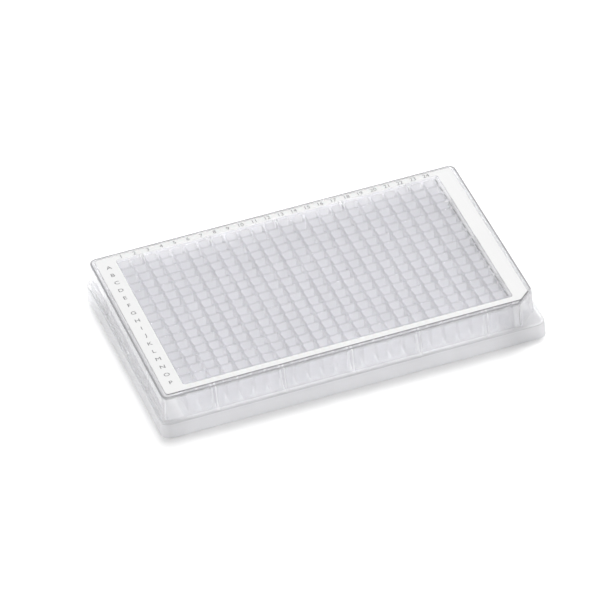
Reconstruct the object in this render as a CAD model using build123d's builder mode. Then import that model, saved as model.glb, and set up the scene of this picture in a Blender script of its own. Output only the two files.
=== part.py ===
from build123d import *
from math import atan2, degrees
import os

# Clear moulded well plate: 16 rows by 24 columns of square drafted wells in
# one block, hung from a deck inside a thin outer wall that steps out to a
# wider base skirt. A thin printed border lies on the deck round the wells.
# Millimetres and degrees. Origin at the centre of the footprint, on the plane
# the plate stands on: +X runs along the columns, +Y towards the first row.

# Base skirt, and the ledge on top of it where a lid sits
footprint_length = 127.76
footprint_width = 85.48
footprint_radius = 3.18
skirt_wall = 1.3
ledge_height = 5.45
ledge_thickness = 1.2
ledge_fillet = 0.45
outer_draft = 0.9

# Outer wall above the ledge, with one corner cut off as a key. It passes into
# the skirt of the next plate in a stack, with this clearance on each side.
plate_height = 14.35
stacking_clearance = 0.58
wall_thickness = 1.2
wall_radius = 2.4
wall_key = 6.0

# Deck, with a shallow step round its edge and a raised border inside the step
deck_thickness = 1.3
rim_step = 0.3
rim_width = 1.55
rim_fillet = 0.2
border_radius = 1.1
border_key = 3.4

# Wells, open at the top of one solid block. The outermost columns and rows
# stand this far in from the sides of the footprint, and the others share the
# length and width between them evenly. A well's walls lean in as they go down.
columns = 24
rows = 16
column_inset = 12.13
row_inset = 8.99
wall_between_wells = 0.8
well_wall_lean = 0.2
well_depth = 11.4
floor_thickness = 1.1
block_wall = 1.1

# Window of the border, round the mouths of the wells. The border is wider
# beside the first column, where the row letters go.
window_recess = 0.3
window_radius = 0.8
first_column_margin = 0.3
last_column_margin = 1.55
row_margin = 1.1

# Ribs from the block to the outer wall, in line with walls between wells
rib_thickness = 1.0
rib_draft = 0.5
wells_between_ribs = 5
long_side_ribs = 5
short_side_ribs = 3

# Ink of the printed border, which stops just short of the border's edges
ink_thickness = 0.05
ink_margin = 0.15

# Levels that follow
border_top = plate_height - ink_thickness
rim_top = border_top - rim_step
well_top = border_top - window_recess
deck_underside = rim_top - deck_thickness
block_underside = well_top - well_depth - floor_thickness
ledge_underside = ledge_height - ledge_thickness

# Lengths, widths and angles that follow
skirt_hollow_length = footprint_length - 2 * skirt_wall
skirt_hollow_width = footprint_width - 2 * skirt_wall
body_length = skirt_hollow_length - 2 * stacking_clearance
body_width = skirt_hollow_width - 2 * stacking_clearance
border_length = body_length - 2 * rim_width
border_width = body_width - 2 * rim_width
column_pitch = (footprint_length - 2 * column_inset) / (columns - 1)
row_pitch = (footprint_width - 2 * row_inset) / (rows - 1)
mouth_length = column_pitch - wall_between_wells
mouth_width = row_pitch - wall_between_wells
mouths_length = (columns - 1) * column_pitch + mouth_length
mouths_width = (rows - 1) * row_pitch + mouth_width
window_length = mouths_length + first_column_margin + last_column_margin
window_width = mouths_width + 2 * row_margin
window_offset = (last_column_margin - first_column_margin) / 2
cross_rib_pitch = wells_between_ribs * column_pitch
long_rib_pitch = wells_between_ribs * row_pitch
well_draft = degrees(atan2(well_wall_lean, well_depth))


def keyed_rectangle(length, width, radius, key):
    """A rectangle with one corner cut off as a key and the others rounded."""
    with BuildSketch() as outline:
        Rectangle(length, width)
        key_corner = outline.vertices().group_by(Axis.X)[-1].sort_by(Axis.Y)[0]
        round_corners = [v for v in outline.vertices() if v != key_corner]
        fillet(round_corners, radius)
        key_corner = outline.vertices().sort_by_distance((length / 2, -width / 2))[0]
        chamfer(key_corner, key)
    return outline.sketch


def drafted_prism(outline, start, end, lean):
    """A prism between two levels, true to its outline at the first of them.

    Its sides lean inwards going up, or outwards where the angle is negative.
    """
    with BuildPart() as prism:
        with BuildSketch(Plane.XY.offset(start)):
            add(outline)
        extrude(amount=end - start)
        sides = prism.faces().filter_by(Axis.Z, reverse=True)
        draft(sides, Plane.XY.offset(start), lean)
    return prism.part


def drafted_rib(outer_length, outer_width, end):
    """A rib that runs from side to side of the plate, thicker towards its root."""
    with BuildSketch() as outline:
        Rectangle(outer_length, outer_width)
    return drafted_prism(outline.sketch, block_underside, end, -rib_draft)


with BuildSketch() as footprint_outline:
    RectangleRounded(footprint_length, footprint_width, footprint_radius)

with BuildSketch() as wall_hollow_outline:
    add(keyed_rectangle(body_length, body_width, wall_radius, wall_key))
    offset(amount=-wall_thickness, kind=Kind.INTERSECTION, mode=Mode.REPLACE)

with BuildSketch() as border_outline:
    add(keyed_rectangle(border_length, border_width, border_radius, border_key))

with BuildSketch() as ink_outline:
    add(border_outline.sketch)
    offset(amount=-ink_margin, kind=Kind.INTERSECTION, mode=Mode.REPLACE)
    with Locations((window_offset, 0)):
        RectangleRounded(
            window_length + 2 * ink_margin,
            window_width + 2 * ink_margin,
            window_radius + ink_margin,
            mode=Mode.SUBTRACT,
        )

with BuildSketch() as mouth_outline:
    Rectangle(mouth_length, mouth_width)

body_outline = keyed_rectangle(body_length, body_width, wall_radius, wall_key)
skirt_form = drafted_prism(footprint_outline.sketch, 0, ledge_height, outer_draft)
body_form = drafted_prism(body_outline, rim_top, ledge_height, outer_draft)
wall_hollow = drafted_prism(wall_hollow_outline.sketch, deck_underside, 0, outer_draft)
well_core = drafted_prism(mouth_outline.sketch, well_top, well_top - well_depth, -well_draft)

# Ribs across the plate and along it, and their feet out to the skirt
cross_rib = drafted_rib(rib_thickness, body_width - wall_thickness, deck_underside)
cross_foot = drafted_rib(rib_thickness, skirt_hollow_width + skirt_wall, ledge_underside)
long_rib = drafted_rib(body_length - wall_thickness, rib_thickness, deck_underside)
long_foot = drafted_rib(skirt_hollow_length + skirt_wall, rib_thickness, ledge_underside)

with BuildPart() as plate_body:
    # Skirt and outer wall, solid for now, with their upper edges rounded
    add(skirt_form)
    fillet(plate_body.faces().sort_by(Axis.Z)[-1].edges(), ledge_fillet)
    add(body_form)
    fillet(plate_body.faces().sort_by(Axis.Z)[-1].edges(), rim_fillet)

    # Raised border
    with BuildSketch(Plane.XY.offset(rim_top)):
        add(border_outline.sketch)
    extrude(amount=rim_step)

    # Hollows inside the skirt and behind the outer wall
    with BuildSketch():
        RectangleRounded(
            skirt_hollow_length, skirt_hollow_width, footprint_radius - skirt_wall
        )
    extrude(amount=ledge_underside, mode=Mode.SUBTRACT)
    add(wall_hollow, mode=Mode.SUBTRACT)

    # Well block, hung from the deck
    with BuildSketch(Plane.XY.offset(block_underside)):
        Rectangle(mouths_length + 2 * block_wall, mouths_width + 2 * block_wall)
    extrude(amount=well_top - block_underside)

    # Ribs, which run through the block from side to side
    with GridLocations(cross_rib_pitch, long_rib_pitch, long_side_ribs, 1):
        add(cross_rib)
        add(cross_foot)
    with GridLocations(cross_rib_pitch, long_rib_pitch, 1, short_side_ribs):
        add(long_rib)
        add(long_foot)

    # Window of the border, down to the mouths of the wells
    with BuildSketch(Plane.XY.offset(border_top)):
        with Locations((window_offset, 0)):
            RectangleRounded(window_length, window_width, window_radius)
    extrude(amount=-window_recess, mode=Mode.SUBTRACT)

    # The wells, each narrowing from its mouth to a flat floor
    with GridLocations(column_pitch, row_pitch, columns, rows):
        add(well_core, mode=Mode.SUBTRACT)

with BuildPart() as border_print:
    with BuildSketch(Plane.XY.offset(border_top)):
        add(ink_outline.sketch)
    extrude(amount=ink_thickness)

plate_body.part.label = "plate_body"
border_print.part.label = "border_print"

os.makedirs("parts", exist_ok=True)
export_step(plate_body.part, "parts/plate_body.step")
export_step(border_print.part, "parts/border_print.step")
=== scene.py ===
"""Clear moulded well plate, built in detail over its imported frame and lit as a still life.

Every object is in metres in the frame's own space: the origin is at the bottom
centre of the plate, +X runs along the columns and +Y towards the first row.
"""

import logging
import math
from dataclasses import dataclass, field
from enum import Enum
from typing import Iterable

import bmesh
import bpy
from mathutils import Matrix, Vector


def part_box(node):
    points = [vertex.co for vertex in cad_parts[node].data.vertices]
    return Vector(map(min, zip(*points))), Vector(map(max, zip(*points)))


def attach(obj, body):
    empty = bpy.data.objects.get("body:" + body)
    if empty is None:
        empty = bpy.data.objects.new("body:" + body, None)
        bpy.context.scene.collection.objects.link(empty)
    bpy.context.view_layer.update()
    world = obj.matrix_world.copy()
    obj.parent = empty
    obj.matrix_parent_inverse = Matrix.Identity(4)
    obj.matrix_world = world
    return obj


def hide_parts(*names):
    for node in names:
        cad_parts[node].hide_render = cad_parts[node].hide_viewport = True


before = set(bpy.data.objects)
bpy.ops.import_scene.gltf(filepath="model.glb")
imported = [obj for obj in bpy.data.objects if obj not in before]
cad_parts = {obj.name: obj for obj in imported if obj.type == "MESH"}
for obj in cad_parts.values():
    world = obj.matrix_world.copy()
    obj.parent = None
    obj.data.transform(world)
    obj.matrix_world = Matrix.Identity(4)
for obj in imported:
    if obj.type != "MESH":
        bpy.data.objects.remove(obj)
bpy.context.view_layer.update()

log = logging.getLogger("well_plate")

MM = 0.001
QUARTER_TURN = math.radians(90)

Colour = tuple[float, float, float]
Ring = list[Vector]
Form = bmesh.types.BMesh
Face = bmesh.types.BMFace
Material = bpy.types.Material
Node = bpy.types.Node
Socket = bpy.types.NodeSocket


class Region(Enum):
    """Where a face of the moulding lies, which decides the finish that it takes.

    The order is that of the moulding's material slots.
    """

    WALLS = 0  # the outer wall above the ledge, inside and out
    PAINTED_SHADE_RIM = 1  # the level tops of the deck and its border, and the sides of the window, tinted darker as painted shade
    EDGES = 2  # the deck's rounded edge, a band beside it, and the sides of the step, tinted dark as a painted shade line
    LEDGE = 3  # the level top of the skirt
    SKIRT = 4  # the skirt below its rounded edge, with the ledge's underside
    RIBS = 5  # the sides and undersides of the ribs
    WELLS = 6  # the insides of the wells, and the block's underside
    WEBS = 7  # the top between the wells, the block's sides, and the deck's underside
    PAINTED_DARK_SHOULDER = 8  # the skirt's rounded upper edge, tinted dark as a painted shade line


class Band(Enum):
    """A band of the printed border that carries index characters."""

    ROW_LETTERS = "row_letters"
    COLUMN_NUMBERS = "column_numbers"


# --------------------------------------------------------------------------
# Sizes
# --------------------------------------------------------------------------


@dataclass(frozen=True)
class PlateSizes:
    """Sizes of the plate in metres, laid out from its boxes in the frame.

    Attributes:
        body_low: Lowest corner of the moulding's box.
        body_high: Highest corner of the moulding's box.
        print_low: Lowest corner of the printed border's box.
        print_high: Highest corner of the printed border's box.
        columns: Number of columns of wells.
        rows: Number of rows of wells.
        column_inset: How far the outermost columns stand in from the footprint's sides.
        row_inset: How far the outermost rows stand in from the footprint's sides.
        wall_between_wells: Thickness of the walls between wells at their tops.
        well_wall_lean: How far a well's wall leans in from its mouth to its floor.
        well_recess: How far the mouths lie below the raised border.
        well_depth: Depth of a well.
        floor_thickness: Thickness of a well's floor.
        block_wall: Thickness of the block's outer walls at their tops.
        rim_step: How far the rim lies below the raised border.
        ledge_level: Level of the ledge on top of the skirt.
        wells_between_ribs: Wells from one rib to the next.
    """

    body_low: Vector
    body_high: Vector
    print_low: Vector
    print_high: Vector
    columns: int = 24
    rows: int = 16
    column_inset: float = 12.13 * MM
    row_inset: float = 8.99 * MM
    wall_between_wells: float = 0.8 * MM
    well_wall_lean: float = 0.2 * MM
    well_recess: float = 0.3 * MM
    well_depth: float = 11.4 * MM
    floor_thickness: float = 1.1 * MM
    block_wall: float = 1.1 * MM
    rim_step: float = 0.3 * MM
    ledge_level: float = 5.45 * MM
    wells_between_ribs: int = 5

    @classmethod
    def from_frame(cls) -> "PlateSizes":
        """Read the boxes of the two CAD nodes.

        Returns:
            The sizes, with those of the wells left at their usual values.
        """
        body_low, body_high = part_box("plate_body")
        print_low, print_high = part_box("border_print")
        return cls(body_low, body_high, print_low, print_high)

    @property
    def column_pitch(self) -> float:
        """Distance from one column of wells to the next."""
        return (self.body_high.x - self.body_low.x - 2 * self.column_inset) / (self.columns - 1)

    @property
    def row_pitch(self) -> float:
        """Distance from one row of wells to the next."""
        return (self.body_high.y - self.body_low.y - 2 * self.row_inset) / (self.rows - 1)

    @property
    def mouth_length(self) -> float:
        """Length of a well's mouth, along X."""
        return self.column_pitch - self.wall_between_wells

    @property
    def mouth_width(self) -> float:
        """Width of a well's mouth, along Y."""
        return self.row_pitch - self.wall_between_wells

    @property
    def rim_level(self) -> float:
        """Level of the rim round the raised border."""
        return self.body_high.z - self.rim_step

    @property
    def well_top(self) -> float:
        """Level of the mouths of the wells."""
        return self.body_high.z - self.well_recess

    @property
    def well_floor(self) -> float:
        """Level of the floors of the wells."""
        return self.well_top - self.well_depth

    @property
    def block_underside(self) -> float:
        """Level of the underside of the well block."""
        return self.well_floor - self.floor_thickness

    @property
    def block_half(self) -> Vector:
        """Half of the well block's length and width.

        Returns:
            Both halves, as a vector in the plane.
        """
        length = (self.columns - 1) * self.column_pitch + self.mouth_length
        width = (self.rows - 1) * self.row_pitch + self.mouth_width
        return Vector((length / 2 + self.block_wall, width / 2 + self.block_wall))

    def column_x(self, index: int) -> float:
        """Centre of a column, counted from 0."""
        return self.body_low.x + self.column_inset + index * self.column_pitch

    def row_y(self, index: int) -> float:
        """Centre of a row, counted from 0 at the far side."""
        return self.body_high.y - self.row_inset - index * self.row_pitch

    def within_print(self, point: Vector, margins: tuple[float, float]) -> bool:
        """Whether a point lies further in from the print's outer edges than two margins.

        Args:
            point: The point.
            margins: The margins along X and along Y.

        Returns:
            True for a point inside both margins.
        """
        high = self.print_high
        return abs(point.x) < high.x - margins[0] and abs(point.y) < high.y - margins[1]


# --------------------------------------------------------------------------
# Node groups and finishes
# --------------------------------------------------------------------------


class NodeSketch:
    """A node tree with short calls to add nodes and join them."""

    def __init__(self, tree: bpy.types.NodeTree) -> None:
        """Keep the tree to build in."""
        self.tree = tree

    def add(self, kind: str, **settings: object) -> Node:
        """Add a node and set its options and inputs.

        Args:
            kind: Node type, such as "ShaderNodeMath".
            settings: Attributes of the node, or its input values by socket name
                with underscores for spaces.

        Returns:
            The new node.
        """
        node = self.tree.nodes.new(kind)
        for name, value in settings.items():
            if hasattr(node, name):
                setattr(node, name, value)
            else:
                node.inputs[name.replace("_", " ")].default_value = value
        return node

    def join(self, source: object, target: Socket) -> None:
        """Feed a socket.

        Args:
            source: The socket to link it to, or a plain value for it.
            target: The socket that takes it.
        """
        if isinstance(source, Socket):
            self.tree.links.new(source, target)
        else:
            target.default_value = source

    def math(self, operation: str, first: object, second: object) -> Socket:
        """Add a Math node on two sockets or numbers.

        Args:
            operation: The Math node's operation.
            first: A socket or a number.
            second: A socket or a number.

        Returns:
            The node's output socket.
        """
        node = self.add("ShaderNodeMath", operation=operation)
        for value, socket in zip((first, second), node.inputs):
            self.join(value, socket)
        return node.outputs["Value"]

    def noise(self, place: Socket, scale: object, detail: float, roughness: float = 0.5) -> Socket:
        """Add a noise texture.

        Args:
            place: Where the noise is read.
            scale: Its scale, as a number or a socket.
            detail: How many finer layers it has.
            roughness: How strong the finer layers are.

        Returns:
            Its value, which averages a half.
        """
        texture = self.add("ShaderNodeTexNoise", Detail=detail, Roughness=roughness)
        self.join(scale, texture.inputs["Scale"])
        self.join(place, texture.inputs["Vector"])
        return texture.outputs["Fac"]

    def scale(self, colour: object, factor: Socket) -> Socket:
        """Scale a colour.

        Args:
            colour: The colour, as a socket or as three numbers.
            factor: The factor.

        Returns:
            The scaled colour.
        """
        node = self.add("ShaderNodeVectorMath", operation="SCALE")
        self.join(colour, node.inputs[0])
        self.join(factor, node.inputs["Scale"])
        return node.outputs["Vector"]

    def vary(self, colour: Socket, texture: Socket, average: float, spread: Socket) -> Socket:
        """Make a colour lighter and darker with a texture.

        Args:
            colour: The colour.
            texture: The texture.
            average: The texture's average, where the colour stays as it is.
            spread: Change of the colour for a change of 1 in the texture.

        Returns:
            The varied colour.
        """
        lift = self.math("MULTIPLY", self.math("SUBTRACT", texture, average), spread)
        return self.scale(colour, self.math("ADD", 1.0, lift))

    def relief(self, height: Socket, depth: float, shader: Node) -> None:
        """Feed a shader's normal from a height.

        Args:
            height: Height from 0 to 1.
            depth: Depth in metres that the whole height stands for.
            shader: The shader that takes the normal.
        """
        bump = self.add("ShaderNodeBump", Strength=1.0, Distance=depth)
        self.join(height, bump.inputs["Height"])
        self.join(bump.outputs["Normal"], shader.inputs["Normal"])

    def mix(self, share: object, first: Socket, second: Socket) -> Socket:
        """Mix two shaders.

        Args:
            share: Share of the second shader, as a number or a socket.
            first: The first shader.
            second: The second shader.

        Returns:
            The mixed shader.
        """
        node = self.add("ShaderNodeMixShader")
        for value, socket in zip((share, first, second), node.inputs):
            self.join(value, socket)
        return node.outputs["Shader"]


class NodeGroups:
    """The shader node groups that the finishes share, each built once."""

    def __init__(self) -> None:
        """Build the groups."""
        self.mould_flow = self._mould_flow()
        self.print_mottle = self._print_mottle()

    @staticmethod
    def _new_group(
        name: str, inputs: dict[str, object], outputs: dict[str, str]
    ) -> tuple[bpy.types.NodeTree, NodeSketch, Node, Node]:
        """Start a group with named sockets.

        Args:
            name: Name of the group.
            inputs: Names and defaults of its inputs, each a number or a colour.
            outputs: Names and kinds of its outputs, each "Float" or "Color".

        Returns:
            The group, a sketch on it, its input node and its output node.
        """
        group = bpy.data.node_groups.new(name, "ShaderNodeTree")
        for label, value in inputs.items():
            coloured = isinstance(value, tuple)
            kind = "NodeSocketColor" if coloured else "NodeSocketFloat"
            socket = group.interface.new_socket(label, in_out="INPUT", socket_type=kind)
            socket.default_value = (*value, 1.0) if coloured else value
        for label, kind in outputs.items():
            group.interface.new_socket(label, in_out="OUTPUT", socket_type=f"NodeSocket{kind}")
        sketch = NodeSketch(group)
        return group, sketch, sketch.add("NodeGroupInput"), sketch.add("NodeGroupOutput")

    @staticmethod
    def _roughness(sketch: NodeSketch, entry: Node, texture: Socket) -> Socket:
        """Roughness that a texture spreads above the group's polish.

        Args:
            sketch: The group's nodes.
            entry: The group's input node, with a Polish and a Polish Spread.
            texture: The texture.

        Returns:
            The roughness.
        """
        spread = sketch.math("MULTIPLY", texture, entry.outputs["Polish Spread"])
        return sketch.math("ADD", entry.outputs["Polish"], spread)

    def _mould_flow(self) -> bpy.types.NodeTree:
        """Faint waves, tint and polish that the flow of the melt leaves on a moulding.

        Returns:
            The group.
        """
        group, sketch, entry, result = self._new_group(
            "mould_flow",
            {
                "Polish": 0.05,
                "Polish Spread": 0.03,
                "Tint Spread": 0.02,
                "Tint": (0.95, 0.96, 0.98),
            },
            {"Tint": "Color", "Roughness": "Float", "Height": "Float"},
        )
        stretch = sketch.add("ShaderNodeMapping", Scale=(1.0, 1.7, 0.6))
        sketch.join(sketch.add("ShaderNodeTexCoord").outputs["Object"], stretch.inputs["Vector"])
        place = stretch.outputs["Vector"]
        cloud = sketch.noise(place, scale=55.0, detail=2.0)
        wave = sketch.noise(place, scale=420.0, detail=1.0, roughness=0.4)
        haze = sketch.noise(place, scale=150.0, detail=4.0, roughness=0.6)
        tint_and_painted_shade = sketch.vary(entry.outputs["Tint"], cloud, 0.5, entry.outputs["Tint Spread"])
        sketch.join(tint_and_painted_shade, result.inputs["Tint"])
        sketch.join(self._roughness(sketch, entry, haze), result.inputs["Roughness"])
        sketch.join(wave, result.inputs["Height"])
        return group

    def _print_mottle(self) -> bpy.types.NodeTree:
        """Uneven lay and fine mesh grain of screen-printed ink.

        Returns:
            The group.
        """
        group, sketch, entry, result = self._new_group(
            "print_mottle",
            {
                "Grain": 5200.0,
                "Spread": 0.06,
                "Polish": 0.45,
                "Polish Spread": 0.2,
                "Ink": (0.8, 0.8, 0.8),
            },
            {"Colour": "Color", "Roughness": "Float", "Height": "Float"},
        )
        place = sketch.add("ShaderNodeTexCoord").outputs["Object"]
        lay = sketch.noise(place, scale=90.0, detail=3.0, roughness=0.55)
        grain = sketch.noise(place, scale=entry.outputs["Grain"], detail=2.0)
        both = sketch.math("ADD", lay, grain)
        colour = sketch.vary(entry.outputs["Ink"], both, 1.0, entry.outputs["Spread"])
        sketch.join(colour, result.inputs["Colour"])
        sketch.join(self._roughness(sketch, entry, grain), result.inputs["Roughness"])
        sketch.join(grain, result.inputs["Height"])
        return group


def new_material(name: str) -> tuple[Material, NodeSketch, Node, Node]:
    """Start a node material.

    Args:
        name: Name of the material.

    Returns:
        The material, a sketch on its nodes, its Principled node and its output node.
    """
    material = bpy.data.materials.new(name)
    material.use_nodes = True
    nodes = material.node_tree.nodes
    sketch = NodeSketch(material.node_tree)
    return material, sketch, nodes["Principled BSDF"], nodes["Material Output"]


@dataclass(frozen=True)
class ClearPlastic:
    """Clear polystyrene, as one of the moulding's regions shows it, with that region's painted
    shade in its tint.

    Attributes:
        name: Name of the material.
        tint_and_painted_shade: Colour that the plastic gives to light, darkened in some regions to
            paint their shade.
        straight_share: Share of the light that passes on without bending.
        haze_share: Share of the light that haze scatters to the other side.
        polish: Roughness of the bent and mirrored light.
        wave_depth: Depth of the faint waves in the surface.
        lamp_share: Share of the lamps' light that passes on into the shadow.
        clear_share: How clear the rest is, where 0 is solid and 1 is like glass.
        bending: Refractive index.
    """

    name: str
    tint_and_painted_shade: Colour
    straight_share: float = 0.0
    haze_share: float = 0.0
    polish: float = 0.05
    wave_depth: float = 0.001 * MM
    lamp_share: float = 0.62
    clear_share: float = 1.0
    bending: float = 1.59

    def make(self, groups: NodeGroups) -> Material:
        """Build the material.

        Args:
            groups: The shared node groups.

        Returns:
            The new material.
        """
        material, sketch, plastic, output = new_material(self.name)
        flow = sketch.add(
            "ShaderNodeGroup",
            node_tree=groups.mould_flow,
            Tint=(*self.tint_and_painted_shade, 1.0),
            Polish=self.polish,
        )
        plastic.inputs["Transmission Weight"].default_value = self.clear_share
        plastic.inputs["IOR"].default_value = self.bending
        sketch.join(flow.outputs["Tint"], plastic.inputs["Base Color"])
        sketch.join(flow.outputs["Roughness"], plastic.inputs["Roughness"])
        sketch.relief(flow.outputs["Height"], self.wave_depth, plastic)

        straight = sketch.add("ShaderNodeBsdfTransparent")
        haze = sketch.add("ShaderNodeBsdfTranslucent")
        for shader in (straight, haze):
            sketch.join(flow.outputs["Tint"], shader.inputs["Color"])
        lamps = sketch.add("ShaderNodeBsdfTransparent", Color=(*[self.lamp_share] * 3, 1.0))
        path = sketch.add("ShaderNodeLightPath")
        through = sketch.mix(
            self.straight_share, plastic.outputs["BSDF"], straight.outputs["BSDF"]
        )
        seen = sketch.mix(self.haze_share, through, haze.outputs["BSDF"])
        whole = sketch.mix(path.outputs["Is Shadow Ray"], seen, lamps.outputs["BSDF"])
        sketch.join(whole, output.inputs["Surface"])
        return material


def moulding_finishes() -> dict[Region, ClearPlastic]:
    """The finishes of the moulding: copies of one clear plastic whose tints paint the shade that
    each region shows. The edges, the shoulder and the rim are painted darkest, and the wells and
    the skirt a little darker than the walls.

    Returns:
        One finish for each region.
    """
    return {
        Region.WALLS: ClearPlastic(
            name="clear_walls",
            tint_and_painted_shade=(0.955, 0.955, 0.97),
            straight_share=0.15,
            haze_share=0.1,
            polish=0.01,
            clear_share=0.85,
        ),
        # Painted shade: a darker grey tint for the shade along the rim strip.
        Region.PAINTED_SHADE_RIM: ClearPlastic(
            name="clear_rim_painted_shade",
            tint_and_painted_shade=(0.78, 0.78, 0.79),
            straight_share=0.1,
            polish=0.01,
            clear_share=0.7,
        ),
        # Painted shade: a near-black tint that draws a dark shade line along the deck's outer
        # edge.
        Region.EDGES: ClearPlastic(
            name="clear_edges_painted_dark",
            tint_and_painted_shade=(0.27, 0.27, 0.28),
            clear_share=0.3,
        ),
        Region.LEDGE: ClearPlastic(
            name="clear_ledge",
            tint_and_painted_shade=(0.95, 0.95, 0.955),
            haze_share=0.1,
            lamp_share=0.3,
        ),
        # Tinted a little darker than the walls, which paints part of the skirt's shade.
        Region.SKIRT: ClearPlastic(
            name="clear_skirt",
            tint_and_painted_shade=(0.915, 0.915, 0.925),
            straight_share=0.2,
            haze_share=0.4,
            polish=0.01,
            clear_share=0.4,
        ),
        Region.RIBS: ClearPlastic(
            name="clear_ribs",
            tint_and_painted_shade=(0.99, 0.99, 0.99),
            haze_share=0.65,
            polish=0.03,
            lamp_share=0.75,
        ),
        # Tinted a little darker than the walls, which paints part of the wells' shade.
        Region.WELLS: ClearPlastic(
            name="clear_wells",
            tint_and_painted_shade=(0.875, 0.875, 0.89),
            straight_share=0.35,
            haze_share=0.35,
            wave_depth=0.002 * MM,
            lamp_share=0.75,
            bending=1.45,
        ),
        Region.WEBS: ClearPlastic(
            name="clear_webs",
            tint_and_painted_shade=(0.95, 0.95, 0.96),
            straight_share=0.6,
            haze_share=0.1,
            wave_depth=0.002 * MM,
            lamp_share=0.75,
            bending=1.2,
        ),
        # Painted shade: a dark tint that draws a shade line along the skirt's rounded edge.
        Region.PAINTED_DARK_SHOULDER: ClearPlastic(
            name="clear_shoulder_painted_dark",
            tint_and_painted_shade=(0.7, 0.7, 0.71),
            clear_share=0.3,
        ),
    }


@dataclass(frozen=True)
class PrintedInk:
    """Screen-printed ink.

    Attributes:
        name: Name of the material.
        colour: Colour of the ink.
        spread: How much the colour varies with the lay of the ink.
        polish: Roughness of the ink where it is smoothest.
        grain_depth: Depth of the mesh's grain.
    """

    name: str
    colour: Colour
    spread: float
    polish: float
    grain_depth: float = 0.002 * MM

    def make(self, groups: NodeGroups) -> Material:
        """Build the material.

        Args:
            groups: The shared node groups.

        Returns:
            The new material.
        """
        material, sketch, shader, _ = new_material(self.name)
        mottle = sketch.add(
            "ShaderNodeGroup",
            node_tree=groups.print_mottle,
            Ink=(*self.colour, 1.0),
            Spread=self.spread,
            Polish=self.polish,
        )
        sketch.join(mottle.outputs["Colour"], shader.inputs["Base Color"])
        sketch.join(mottle.outputs["Roughness"], shader.inputs["Roughness"])
        sketch.relief(mottle.outputs["Height"], self.grain_depth, shader)
        return material


@dataclass(frozen=True)
class PaleTable:
    """Pale matt table top.

    Attributes:
        name: Name of the material.
        colour: Its lightest colour.
        darkest: Its darkest tone, as a share of the lightest.
        cloud_scale: Scale of its lighter and darker clouds.
        roughness: Its roughness.
    """

    name: str = "pale_table"
    colour: Colour = (0.92, 0.92, 0.92)
    darkest: float = 0.985
    cloud_scale: float = 6.0
    roughness: float = 0.9

    def make(self) -> Material:
        """Build the material.

        Returns:
            The new material.
        """
        material, sketch, shader, _ = new_material(self.name)
        place = sketch.add("ShaderNodeTexCoord").outputs["Object"]
        cloud = sketch.noise(place, scale=self.cloud_scale, detail=2.0)
        tone = sketch.add("ShaderNodeMapRange", To_Min=self.darkest, To_Max=1.0)
        sketch.join(cloud, tone.inputs["Value"])
        colour = sketch.scale(self.colour, tone.outputs["Result"])
        sketch.join(colour, shader.inputs["Base Color"])
        shader.inputs["Roughness"].default_value = self.roughness
        shader.inputs["Specular IOR Level"].default_value = 0.0
        return material


# --------------------------------------------------------------------------
# Pieces
# --------------------------------------------------------------------------


def rounded_ring(half_x: float, half_y: float, radius: float, steps: int, level: float) -> Ring:
    """Points of a rounded rectangle, anticlockwise from its +X +Y corner.

    Args:
        half_x: Half of the length.
        half_y: Half of the width.
        radius: Corner radius.
        steps: Segments in each corner.
        level: Height of the points.

    Returns:
        The points, steps + 1 of them for each corner.
    """
    points = []
    for quarter, (side_x, side_y) in enumerate(((1, 1), (-1, 1), (-1, -1), (1, -1))):
        centre = Vector((side_x * (half_x - radius), side_y * (half_y - radius), level))
        for step in range(steps + 1):
            turn = QUARTER_TURN * (quarter + step / steps)
            points.append(centre + radius * Vector((math.cos(turn), math.sin(turn), 0.0)))
    return points


def link_form(name: str, form: Form, materials: Iterable[Material]) -> bpy.types.Object:
    """Turn a finished form into an object of the scene, and free the form.

    Args:
        name: Name of the new object and its mesh.
        form: The form.
        materials: Its materials, in slot order.

    Returns:
        The new object.
    """
    mesh = bpy.data.meshes.new(name)
    form.to_mesh(mesh)
    form.free()
    for material in materials:
        mesh.materials.append(material)
    piece = bpy.data.objects.new(name, mesh)
    bpy.context.scene.collection.objects.link(piece)
    return piece


@dataclass(frozen=True)
class WellForm:
    """Rounded form of one well, inside the square form of the frame.

    Attributes:
        corner_radius: Radius of the upright corners.
        least_radius: The smallest radius they come down to round the foot.
        corner_closing: Loss of that radius for each metre that a ring is inset.
        lip_radius: Radius of the rounding at the mouth.
        foot_radius: Radius of the rounding at the floor.
        corner_steps: Segments in each upright corner.
        lip_steps: Segments in the rounding at the mouth.
        foot_steps: Segments in the rounding at the floor.
    """

    corner_radius: float = 0.5 * MM
    least_radius: float = 0.1 * MM
    corner_closing: float = 0.6
    lip_radius: float = 0.12 * MM
    foot_radius: float = 0.55 * MM
    corner_steps: int = 3
    lip_steps: int = 3
    foot_steps: int = 3

    def rings(self, sizes: PlateSizes) -> list[Ring]:
        """Rings of points from the lip down to the floor, round the well's own axis.

        Args:
            sizes: The plate's sizes.

        Returns:
            The rings, each with the same number of points.
        """
        rings = []
        for step in range(self.lip_steps + 1):
            turn = QUARTER_TURN * step / self.lip_steps
            depth = self.lip_radius * (1 - math.cos(turn))
            rings.append(self._ring(sizes, depth, -self.lip_radius * (1 - math.sin(turn))))
        for step in range(self.foot_steps + 1):
            turn = QUARTER_TURN * step / self.foot_steps
            depth = sizes.well_depth - self.foot_radius * (1 - math.sin(turn))
            rings.append(self._ring(sizes, depth, self.foot_radius * (1 - math.cos(turn))))
        return rings

    def _ring(self, sizes: PlateSizes, depth: float, inset: float) -> Ring:
        """One ring.

        Args:
            sizes: The plate's sizes.
            depth: Depth below the mouth.
            inset: How far the ring lies inside the well's wall.

        Returns:
            The ring's points.
        """
        shrink = inset + sizes.well_wall_lean * depth / sizes.well_depth
        radius = self.corner_radius - max(inset, 0.0) * self.corner_closing
        return rounded_ring(
            sizes.mouth_length / 2 - shrink,
            sizes.mouth_width / 2 - shrink,
            max(radius, self.least_radius),
            self.corner_steps,
            sizes.well_top - depth,
        )


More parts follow.
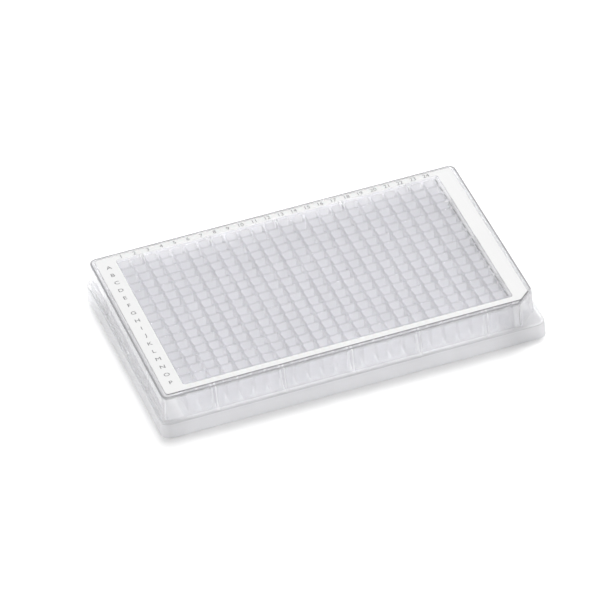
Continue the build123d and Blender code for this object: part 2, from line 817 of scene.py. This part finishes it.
@dataclass
class ClearBody:
    """The one clear moulding: outer walls and skirt from the frame, wells in full detail.

    Attributes:
        sizes: The plate's sizes.
        wells: The form of a well.
        finishes: The finish of each region.
        painted_dark_band: Width of the band along the deck's outer edge that is painted with a
            dark shade line.
        merge_gap: Points nearer than this are one point, and levels one level.
        near_gap: A face nearer than this to a side or a level lies on it.
        flat_degrees: Faces that turn by less than this are made one.
        crease_degrees: Edges that turn by more than this stay sharp.
        flat_weight: How strongly large faces pull the shading of small ones.
        square_share: Least share of its normal along an axis for a face square to it.
        lean_share: The same for a face that may lean a little.
        rim_depth: Height of the deck's rounded edge, and a little more.
        deck_depth: Faces that look down less than this below the rim are the deck's.
        shoulder_depth: Height of the skirt's rounded edge, and a little more.
        skirt_drop: Height of the skirt's rounded edge, less a little.
        rib_reach: Half of a rib at its thickest, and a little more.
        border_margins: Sides further in from the print's edges than this are the window's.
        window_margins: Narrower than the print's bands, so the window lies further in.
    """

    sizes: PlateSizes
    wells: WellForm = field(default_factory=WellForm)
    finishes: dict[Region, ClearPlastic] = field(default_factory=moulding_finishes)
    painted_dark_band: float = 0.4 * MM
    merge_gap: float = 0.001 * MM
    near_gap: float = 0.05 * MM
    flat_degrees: float = 0.3
    crease_degrees: float = 40.0
    flat_weight: int = 80
    square_share: float = 0.99
    lean_share: float = 0.9
    rim_depth: float = 0.3 * MM
    deck_depth: float = 2.0 * MM
    shoulder_depth: float = 0.5 * MM
    skirt_drop: float = 0.4 * MM
    rib_reach: float = 0.75 * MM
    border_margins: tuple[float, float] = (1.0 * MM, 1.0 * MM)
    window_margins: tuple[float, float] = (4.0 * MM, 2.0 * MM)

    def build(self, groups: NodeGroups) -> bpy.types.Object:
        """Build the moulding and set it in the place of its CAD node.

        Args:
            groups: The shared node groups.

        Returns:
            The new piece.
        """
        form = bmesh.new()
        form.from_mesh(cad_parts["plate_body"].data)
        bmesh.ops.remove_doubles(form, verts=form.verts, dist=self.merge_gap)
        self._clear_square_wells(form)
        flat = math.radians(self.flat_degrees)
        bmesh.ops.dissolve_limit(form, angle_limit=flat, verts=form.verts, edges=form.edges)
        self._add_wells(form)
        self._close_top(form)
        self._sort_faces(form, self._add_painted_dark_band(form))
        finishes = [self.finishes[region].make(groups) for region in Region]
        piece = link_form("clear_body", form, finishes)
        self._even_normals(piece)
        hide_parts("plate_body")
        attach(piece, "root")
        return piece

    def _inside_mouths(self, point: Vector) -> bool:
        """Whether a point lies within the outline round all the mouths.

        Args:
            point: The point.

        Returns:
            True for a point inside that outline or on it.
        """
        half = self.sizes.block_half
        reach = self.sizes.block_wall - self.merge_gap
        return abs(point.x) < half.x - reach and abs(point.y) < half.y - reach

    def _clear_square_wells(self, form: Form) -> None:
        """Take out the frame's square wells and the flat top between them.

        Args:
            form: The moulding.
        """
        sizes = self.sizes
        bottom = sizes.well_floor - self.merge_gap
        doomed = []
        for face in form.faces:
            levels = [vert.co.z for vert in face.verts]
            if min(levels) < bottom or max(levels) > sizes.well_top + self.merge_gap:
                continue
            flat_top = min(levels) > sizes.well_top - self.merge_gap
            in_window = sizes.within_print(face.calc_center_median(), self.window_margins)
            in_mouths = all(self._inside_mouths(vert.co) for vert in face.verts)
            if in_mouths or (flat_top and in_window):
                doomed.append(face)
        bmesh.ops.delete(form, geom=doomed, context="FACES")

    def _add_wells(self, form: Form) -> None:
        """Add the rounded wells, open at their mouths.

        Args:
            form: The moulding.
        """
        rings = self.wells.rings(self.sizes)
        for column in range(self.sizes.columns):
            for row in range(self.sizes.rows):
                shift = Vector((self.sizes.column_x(column), self.sizes.row_y(row), 0.0))
                loops = [[form.verts.new(point + shift) for point in ring] for ring in rings]
                for upper, lower in zip(loops, loops[1:]):
                    for index in range(len(upper)):
                        after = (index + 1) % len(upper)
                        form.faces.new((upper[index], upper[after], lower[after], lower[index]))
                form.faces.new(loops[-1])

    @staticmethod
    def _close_top(form: Form) -> None:
        """Fill the flat top between the mouths and the window of the border.

        Args:
            form: The moulding.
        """
        open_edges = [edge for edge in form.edges if edge.is_boundary]
        filled = bmesh.ops.triangle_fill(form, edges=open_edges, use_beauty=True)
        for item in filled["geom"]:
            if isinstance(item, Face) and item.normal.z < 0:
                item.normal_flip()

    def _add_painted_dark_band(self, form: Form) -> set[Face]:
        """Mark off a narrow band along the outer edge of the rim, which the edges' finish paints
        with a dark shade line.

        Args:
            form: The moulding.

        Returns:
            The faces of the band.
        """
        level = self.sizes.rim_level
        flats = [
            face
            for face in form.faces
            if face.normal.z > self.square_share
            and all(abs(vert.co.z - level) < self.merge_gap for vert in face.verts)
            and not self._in_block(face)
        ]
        flats = bmesh.ops.triangulate(form, faces=flats)["faces"]
        inset = bmesh.ops.inset_region(
            form, faces=flats, thickness=self.painted_dark_band, use_boundary=True, use_even_offset=True
        )
        band = set()
        for face in inset["faces"]:
            beside = {other for edge in face.edges for other in edge.link_faces}
            lowest = min(vert.co.z for other in beside for vert in other.verts)
            if lowest < level - self.merge_gap:
                band.add(face)
        return band

    def _sort_faces(self, form: Form, band: set[Face]) -> None:
        """Give each face its region's finish and smooth shading.

        Args:
            form: The moulding.
            band: Faces that take the edges' painted dark shade line, whatever their place.
        """
        for face in form.faces:
            # The band takes the dark finish that paints a shade line along the edge.
            region = Region.EDGES if face in band else self._region(face)
            face.material_index = region.value
            face.smooth = True

    def _in_block(self, face: Face) -> bool:
        """Whether a face lies wholly within the plan of the well block.

        Args:
            face: The face.

        Returns:
            True for a face within the plan.
        """
        reach_x, reach_y = (half + self.near_gap for half in self.sizes.block_half)
        return all(abs(vert.co.x) < reach_x and abs(vert.co.y) < reach_y for vert in face.verts)

    def _region(self, face: Face) -> Region:
        """The region of the moulding that a face lies in.

        Args:
            face: The face.

        Returns:
            Its region.
        """
        sizes, near = self.sizes, self.near_gap
        middle = face.calc_center_median()
        levels = [vert.co.z for vert in face.verts]
        lowest, highest = min(levels), max(levels)
        in_block = self._in_block(face)
        if in_block and sizes.block_underside - near < middle.z < sizes.well_top + near:
            on_top = middle.z > sizes.well_top - self.wells.lip_radius
            return Region.WEBS if on_top or self._on_block_side(face, middle) else Region.WELLS
        if self._on_rib(face, middle):
            return Region.RIBS
        if face.normal.z < -self.lean_share and middle.z > sizes.rim_level - self.deck_depth:
            return Region.WEBS
        if middle.z > sizes.rim_level - self.rim_depth and not in_block:
            flat = highest - lowest < self.merge_gap
            inner = sizes.within_print(middle, self.border_margins)
            return Region.PAINTED_SHADE_RIM if flat or inner else Region.EDGES
        if highest < sizes.ledge_level + near:
            if lowest > sizes.ledge_level - self.merge_gap:
                return Region.LEDGE
            if lowest > sizes.ledge_level - self.shoulder_depth:
                return Region.PAINTED_DARK_SHOULDER
        return Region.SKIRT if highest < sizes.ledge_level - self.skirt_drop else Region.WALLS

    def _on_block_side(self, face: Face, middle: Vector) -> bool:
        """Whether a face of the well block lies on one of its four outer sides.

        Args:
            face: The face.
            middle: Its middle.

        Returns:
            True for a face of an outer side.
        """
        half, near = self.sizes.block_half, self.near_gap
        across = abs(face.normal.x) > self.lean_share and abs(middle.x) > half.x - near
        along = abs(face.normal.y) > self.lean_share and abs(middle.y) > half.y - near
        return across or along

    def _on_rib(self, face: Face, middle: Vector) -> bool:
        """Whether a face outside the block is the side or the underside of a rib.

        Args:
            face: The face.
            middle: Its middle.

        Returns:
            True for a rib's face.
        """
        sizes, half = self.sizes, self.sizes.block_half
        if middle.z < sizes.block_underside - self.near_gap or middle.z > sizes.well_top:
            return False
        if abs(face.normal.x) > self.square_share and abs(middle.y) > half.y:
            return abs(middle.x) < half.x and self._at_rib(middle.x, sizes.column_pitch)
        if abs(face.normal.y) > self.square_share and abs(middle.x) > half.x:
            return abs(middle.y) < half.y and self._at_rib(middle.y, sizes.row_pitch)
        return abs(middle.z - sizes.block_underside) < self.near_gap

    def _at_rib(self, place: float, well_pitch: float) -> bool:
        """Whether a place along a side is where a rib stands.

        Args:
            place: Distance from the middle of the side.
            well_pitch: Distance from one well to the next along it.

        Returns:
            True within a rib's reach of its middle.
        """
        pitch = self.sizes.wells_between_ribs * well_pitch
        return abs(place - pitch * round(place / pitch)) < self.rib_reach

    def _even_normals(self, piece: bpy.types.Object) -> None:
        """Crease the sharp edges, and keep large flats flat where they meet small rounds.

        Args:
            piece: The moulding.
        """
        old = piece.data
        if "custom_normal" in old.attributes:
            old.attributes.remove(old.attributes["custom_normal"])
        old.set_sharp_from_angle(angle=math.radians(self.crease_degrees))
        modifier = piece.modifiers.new("even_normals", "WEIGHTED_NORMAL")
        modifier.keep_sharp = True
        modifier.weight = self.flat_weight
        depsgraph = bpy.context.evaluated_depsgraph_get()
        piece.data = bpy.data.meshes.new_from_object(piece.evaluated_get(depsgraph))
        piece.modifiers.clear()
        bpy.data.meshes.remove(old)
        piece.data.name = piece.name


@dataclass
class PrintedBorder:
    """The printed border: a thin white field and the index characters on it.

    Attributes:
        sizes: The plate's sizes.
        field_share: Share of the print's thickness that the white field takes.
        character_height: Height of the characters.
        type_size: Size of the typeface for characters as high as 1.
        letter_stretch: Width of the letters over the typeface's own.
        number_stretch: Width of the numbers over the typeface's own.
        curve_steps: Segments in each curve of a character.
        left_band: Width of the border beside the first column.
        letter_place: Where the letters stand across it, as a share from its outer edge.
        far_band: Width of the border along the first row.
        merge_gap: Points nearer than this are one point.
        field_finish: Ink of the field.
        character_finish: Ink of the characters.
    """

    sizes: PlateSizes
    field_share: float = 0.6
    character_height: float = 1.8 * MM
    type_size: float = 1.38
    letter_stretch: float = 1.05
    number_stretch: float = 0.9
    curve_steps: int = 3
    left_band: float = 5.3 * MM
    letter_place: float = 0.6
    far_band: float = 2.3 * MM
    merge_gap: float = 0.001 * MM
    field_finish: PrintedInk = PrintedInk(
        name="white_ink", colour=(0.58, 0.58, 0.58), spread=0.05, polish=0.35
    )
    character_finish: PrintedInk = PrintedInk(
        name="grey_ink", colour=(0.1, 0.1, 0.105), spread=0.25, polish=0.4
    )

    def build(self, groups: NodeGroups) -> list[bpy.types.Object]:
        """Build the white field and both bands of characters.

        Args:
            groups: The shared node groups.

        Returns:
            The new pieces.
        """
        characters = self.character_finish.make(groups)
        pieces = [self._field(self.field_finish.make(groups))]
        pieces += [self._characters(band, characters) for band in Band]
        for piece in pieces:
            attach(piece, "root")
        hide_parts("border_print")
        return pieces

    @property
    def _field_top(self) -> float:
        """Level of the top of the white field."""
        low, high = self.sizes.print_low.z, self.sizes.print_high.z
        return low + self.field_share * (high - low)

    def _field(self, material: Material) -> bpy.types.Object:
        """The white field, with the frame's outline and a lower top.

        Args:
            material: Its finish.

        Returns:
            The new piece.
        """
        form = bmesh.new()
        form.from_mesh(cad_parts["border_print"].data)
        bmesh.ops.remove_doubles(form, verts=form.verts, dist=self.merge_gap)
        middle = (self.sizes.print_low.z + self.sizes.print_high.z) / 2
        for vert in form.verts:
            if vert.co.z > middle:
                vert.co.z = self._field_top
        return link_form("white_border", form, [material])

    def _places(self, band: Band) -> list[tuple[str, Vector]]:
        """The characters of a band and their centres.

        Args:
            band: Which band.

        Returns:
            Each text with the place of its centre.
        """
        sizes = self.sizes
        if band is Band.ROW_LETTERS:
            across = sizes.print_low.x + self.letter_place * self.left_band
            return [
                (chr(ord("A") + row), Vector((across, sizes.row_y(row), 0.0)))
                for row in range(sizes.rows)
            ]
        along = sizes.print_high.y - self.far_band / 2
        return [
            (str(column + 1), Vector((sizes.column_x(column), along, 0.0)))
            for column in range(sizes.columns)
        ]

    def _characters(self, band: Band, material: Material) -> bpy.types.Object:
        """One band of characters as a single thin mesh.

        Args:
            band: Which band.
            material: Its finish.

        Returns:
            The new piece.
        """
        stretch = self.letter_stretch if band is Band.ROW_LETTERS else self.number_stretch
        form = bmesh.new()
        for text, place in self._places(band):
            glyph = self._glyph(text, place, stretch)
            form.from_mesh(glyph)
            bpy.data.meshes.remove(glyph)
        return link_form(band.value, form, [material])

    def _glyph(self, text: str, place: Vector, stretch: float) -> bpy.types.Mesh:
        """One text as a thin mesh on top of the white field.

        Args:
            text: The text.
            place: Where the middle of its outline stands in the plan.
            stretch: Its width over the typeface's own.

        Returns:
            The mesh.
        """
        thickness = self.sizes.print_high.z - self._field_top
        curve = bpy.data.curves.new(text, "FONT")
        curve.body = text
        curve.size = self.character_height * self.type_size
        curve.resolution_u = self.curve_steps
        curve.extrude = thickness / 2
        writer = bpy.data.objects.new(text, curve)
        glyph = bpy.data.meshes.new_from_object(writer)
        bpy.data.objects.remove(writer)
        bpy.data.curves.remove(curve)
        spread = [vert.co.xy for vert in glyph.vertices]
        low = Vector(min(point[axis] for point in spread) for axis in (0, 1))
        high = Vector(max(point[axis] for point in spread) for axis in (0, 1))
        to_middle = Matrix.Translation(-((low + high) / 2).to_3d())
        to_place = Matrix.Translation(place + Vector((0.0, 0.0, self._field_top + thickness / 2)))
        glyph.transform(to_place @ Matrix.Diagonal((stretch, 1.0, 1.0, 1.0)) @ to_middle)
        return glyph


# --------------------------------------------------------------------------
# Studio
# --------------------------------------------------------------------------


@dataclass
class Studio:
    """Pale table, soft lights and the camera.

    Attributes:
        table_half: Half of the table's side.
        table_cells: Squares along each side of the table's mesh.
        table_gap: How far the table's top lies below the plate.
        table_finish: Finish of the table.
        sky_top: Brightness of the room straight overhead.
        sky_edge: Brightness of the room level with the table and below.
        lamp_place: Where the main lamp stands.
        lamp_side: Length of its sides.
        lamp_power: Its power in watts.
        card_place: Where the side card stands, which lights the letters' end.
        card_side: Length of its sides.
        card_power: Its power in watts.
        camera_azimuth: Turn of the camera round the plate, from the near side to the left.
        camera_elevation: Its height above the table, as an angle.
        camera_roll: Its turn round its own axis.
        camera_distance: Its distance from the place that it aims at.
        camera_lens: Its focal length in millimetres.
        camera_aim: The place that it aims at.
    """

    table_half: float = 3.0
    table_cells: int = 8
    table_gap: float = 0.08 * MM
    table_finish: PaleTable = PaleTable()
    sky_top: float = 0.85
    sky_edge: float = 0.2
    lamp_place: Vector = field(default_factory=lambda: Vector((0.4, 0.7, 1.4)))
    lamp_side: float = 0.8
    lamp_power: float = 23.5
    card_place: Vector = field(default_factory=lambda: Vector((-1.4, 0.3, 0.5)))
    card_side: float = 1.0
    card_power: float = 7.0
    camera_azimuth: float = math.radians(14.239)
    camera_elevation: float = math.radians(35.613)
    camera_roll: float = math.radians(-6.573)
    camera_distance: float = 2.1793
    camera_lens: float = 410.6
    camera_aim: Vector = field(default_factory=lambda: Vector((-3.281, 4.03, 4.324)) * MM)

    def build(self) -> None:
        """Set up the table, the lights, the surroundings and the camera."""
        scene = bpy.context.scene
        scene.view_settings.view_transform = "Standard"
        self._table()
        self._lamp("soft_lamp", self.lamp_place, self.lamp_side, self.lamp_power)
        self._lamp("side_card", self.card_place, self.card_side, self.card_power)
        scene.world = self._surroundings()
        scene.camera = self._camera()

    def _table(self) -> None:
        """The table top under the plate."""
        form = bmesh.new()
        cells = self.table_cells
        bmesh.ops.create_grid(form, x_segments=cells, y_segments=cells, size=self.table_half)
        bmesh.ops.translate(form, verts=form.verts, vec=(0.0, 0.0, -self.table_gap))
        link_form("table_top", form, [self.table_finish.make()])

    def _lamp(self, name: str, place: Vector, side: float, power: float) -> None:
        """A square soft lamp that faces the plate.

        Args:
            name: Its name.
            place: Where it stands.
            side: Length of its sides.
            power: Its power in watts.
        """
        light = bpy.data.lights.new(name, "AREA")
        light.shape = "SQUARE"
        light.size = side
        light.energy = power
        lamp = bpy.data.objects.new(name, light)
        facing = place.to_track_quat("Z", "Y").to_matrix().to_4x4()
        lamp.matrix_world = Matrix.Translation(place) @ facing
        bpy.context.scene.collection.objects.link(lamp)

    def _surroundings(self) -> bpy.types.World:
        """A room that is bright overhead and darker towards its sides.

        Returns:
            The world.
        """
        world = bpy.data.worlds.new("studio")
        world.use_nodes = True
        sketch = NodeSketch(world.node_tree)
        place = sketch.add("ShaderNodeTexCoord")
        split = sketch.add("ShaderNodeSeparateXYZ")
        rise = sketch.add("ShaderNodeMapRange", To_Min=self.sky_edge, To_Max=self.sky_top)
        sketch.join(place.outputs["Generated"], split.inputs["Vector"])
        sketch.join(split.outputs["Z"], rise.inputs["Value"])
        light = world.node_tree.nodes["Background"]
        light.inputs["Color"].default_value = (1.0, 1.0, 1.0, 1.0)
        sketch.join(rise.outputs["Result"], light.inputs["Strength"])
        return world

    def _camera(self) -> bpy.types.Object:
        """The camera.

        Returns:
            The camera object.
        """
        turn, rise, roll = self.camera_azimuth, self.camera_elevation, self.camera_roll
        across = Vector((math.cos(turn), -math.sin(turn), 0.0))
        back = Vector(
            (-math.sin(turn) * math.cos(rise), -math.cos(turn) * math.cos(rise), math.sin(rise))
        )
        up = back.cross(across)
        right = across * math.cos(roll) + up * math.sin(roll)
        top = up * math.cos(roll) - across * math.sin(roll)
        data = bpy.data.cameras.new("camera")
        data.lens = self.camera_lens
        camera = bpy.data.objects.new("camera", data)
        stand = Matrix((right, top, back)).transposed().to_4x4()
        stand.translation = self.camera_aim + back * self.camera_distance
        camera.matrix_world = stand
        bpy.context.scene.collection.objects.link(camera)
        return camera


def main() -> None:
    """Build the plate and its setting in order."""
    logging.basicConfig(level=logging.INFO, format="%(name)s: %(message)s")
    sizes = PlateSizes.from_frame()
    groups = NodeGroups()
    Studio().build()
    pieces = [ClearBody(sizes).build(groups)]
    pieces += PrintedBorder(sizes).build(groups)
    for piece in pieces:
        log.info("%s: %d faces", piece.name, len(piece.data.polygons))


if __name__ == "__main__":
    main()
